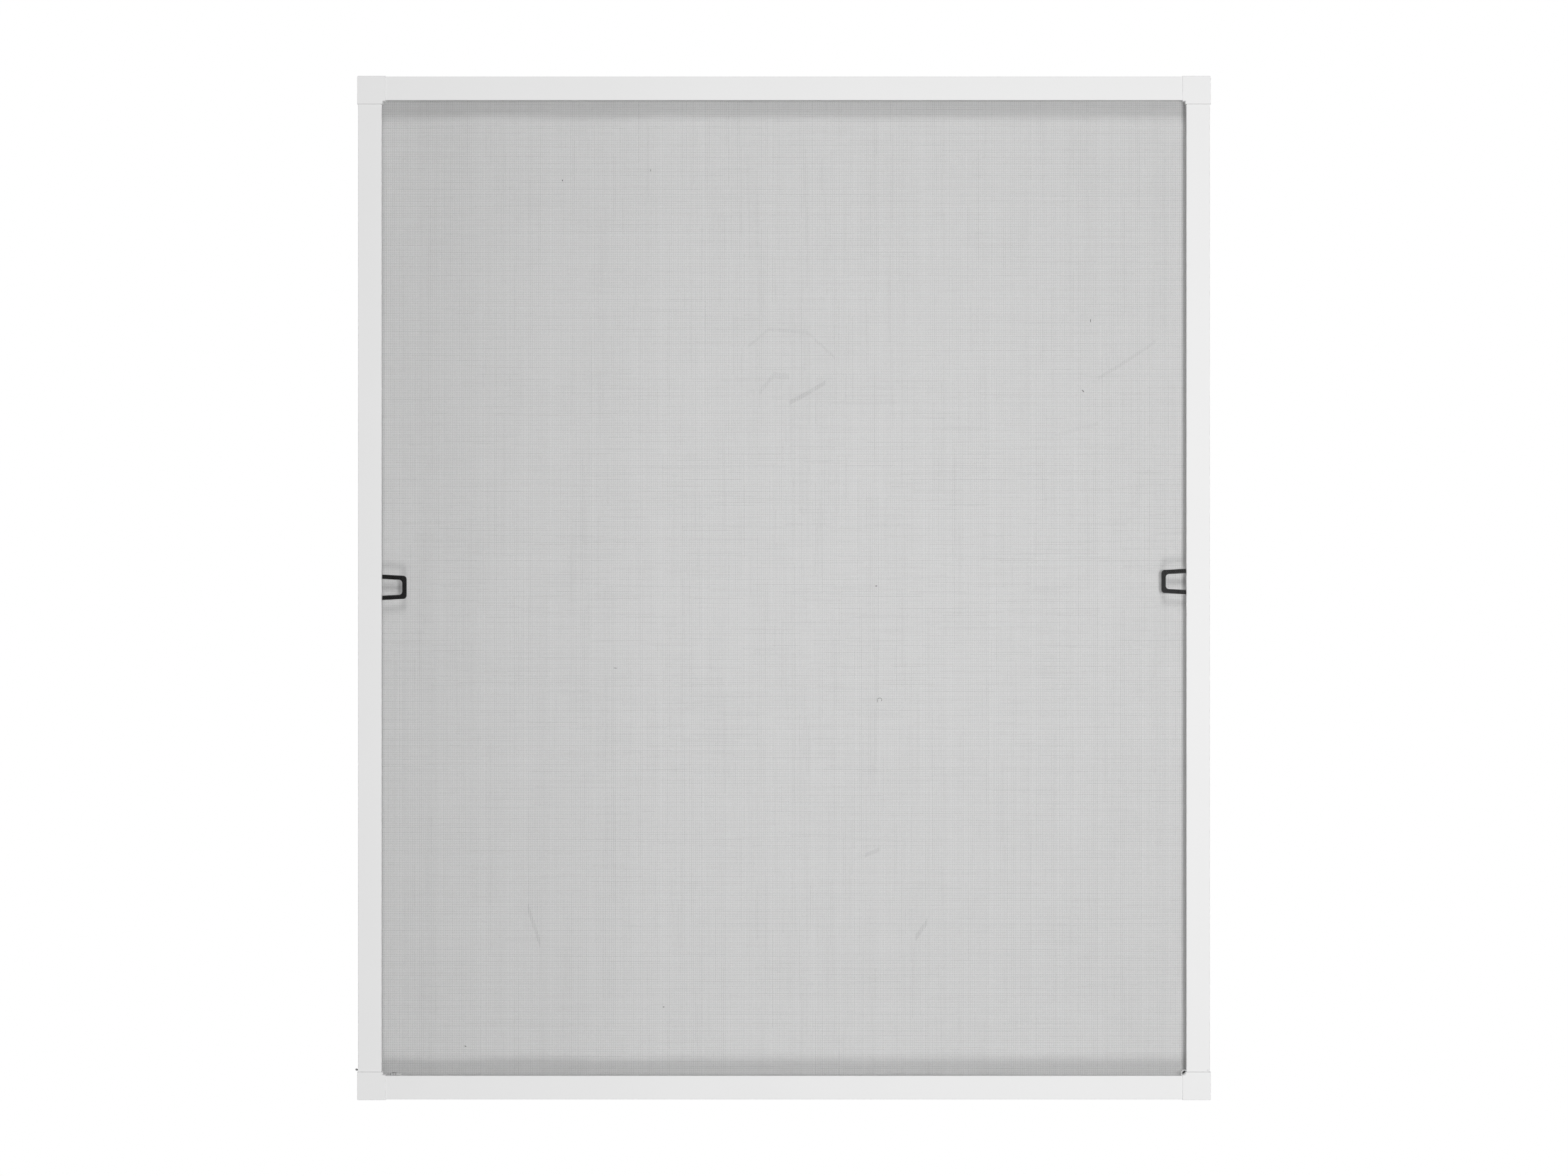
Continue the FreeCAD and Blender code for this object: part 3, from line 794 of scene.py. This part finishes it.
FLOOR_LEVEL = -0.95
FLOOR_RADIUS = 1.25
FLOOR_CORNERS = 96
FLOOR_PALE = (0.88, 0.88, 0.88, 1)
FLOOR_PALER = (0.90, 0.90, 0.90, 1)
FLOOR_TONE_SCALE = 3.0
FLOOR_GLOW = 0.27

floor_paint, pen, place = new_finish("pale_floor")
floor_tone = noise(pen, place, FLOOR_TONE_SCALE, detail=3.0)
close_finish(pen, matt_paint(blend(pen, floor_tone, FLOOR_PALE, FLOOR_PALER), FLOOR_GLOW))
bpy.ops.mesh.primitive_circle_add(
    vertices=FLOOR_CORNERS, radius=FLOOR_RADIUS, fill_type="NGON", location=(0, 0, FLOOR_LEVEL)
)
floor = bpy.context.object
floor.name = "pale_floor"
floor.data.materials.append(floor_paint)
floor.visible_shadow = False
floor.visible_diffuse = False

# Two wide soft boxes light the frame from the front, one high and one low, and a smaller one stands
# level with it, a little to the right. Two more stand behind it, for its back and sides. Their
# light isn't passed on, because the board would carry it to the front.

WIDE_LAMP_PLACE = (0.15, -4.5, 3.9)
WIDE_LAMP_WATTS = 119
WIDE_LAMP_SIZE = 1.8
SMALL_LAMP_PLACE = (0.74, -2.8, 0)
SMALL_LAMP_WATTS = 37.5
SMALL_LAMP_SIZE = 0.45
REAR_LAMP_PLACE = (4.0, 3.0, 0.4)
REAR_LAMP_WATTS = 170
REAR_LAMP_SIZE = 2.2


def add_lamp(name, place, watts, size):
    """Adds a soft box that points at the middle of the frame."""
    lamp = bpy.data.lights.new(name, "AREA")
    lamp.energy = watts
    lamp.size = size
    holder = bpy.data.objects.new(name, lamp)
    holder.location = place
    holder.rotation_euler = (-Vector(place)).to_track_quat("-Z", "Y").to_euler()
    bpy.context.scene.collection.objects.link(holder)
    return lamp


for name, up in (("high_front_lamp", 1), ("low_front_lamp", -1)):
    x, y, z = WIDE_LAMP_PLACE
    add_lamp(name, (x, y, z * up), WIDE_LAMP_WATTS, WIDE_LAMP_SIZE)
add_lamp("level_front_lamp", SMALL_LAMP_PLACE, SMALL_LAMP_WATTS, SMALL_LAMP_SIZE)
for name, out in (("right_rear_lamp", 1), ("left_rear_lamp", -1)):
    x, y, z = REAR_LAMP_PLACE
    rear_lamp = add_lamp(name, (x * out, y, z), REAR_LAMP_WATTS, REAR_LAMP_SIZE)
    rear_lamp.cycles.max_bounces = 0

# The room is a plain studio. It is white where the camera, a reflection or clear stuff shows it,
# and otherwise it gives only a weak fill.

ROOM_FILL = 0.06

room = bpy.data.worlds.new("white_room")
room.use_nodes = True
room.node_tree.nodes.clear()
bpy.context.scene.world = room
pen = Signal(room.node_tree)
shown = pen.node("LightPath", output="Is Camera Ray")
shown = shown + pen.node("LightPath", output="Is Glossy Ray")
shown = shown + pen.node("LightPath", output="Is Transmission Ray")
room_light = pen.node("Background", None, {
    "Color": (1, 1, 1, 1),
    "Strength": ROOM_FILL + (1 - ROOM_FILL) * shown,
})
pen.node("OutputWorld", None, {"Surface": room_light})

# The camera stands square in front of the plain face, on the frame's middle, as the photograph was
# taken. Its distance comes from the width that it takes in at the profiles' face.

VIEW_WIDTH = 1.8372
LENS = 85
SENSOR = 36

camera_data = bpy.data.cameras.new("front_camera")
camera_data.lens = LENS
camera_data.sensor_width = SENSOR
camera = bpy.data.objects.new("front_camera", camera_data)
front_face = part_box("right_profile")[0].y
camera.location = (0, front_face - VIEW_WIDTH * LENS / SENSOR, 0)
camera.rotation_euler = (math.radians(90), 0, 0)
bpy.context.scene.collection.objects.link(camera)
bpy.context.scene.camera = camera
bpy.context.scene.view_settings.view_transform = "Standard"
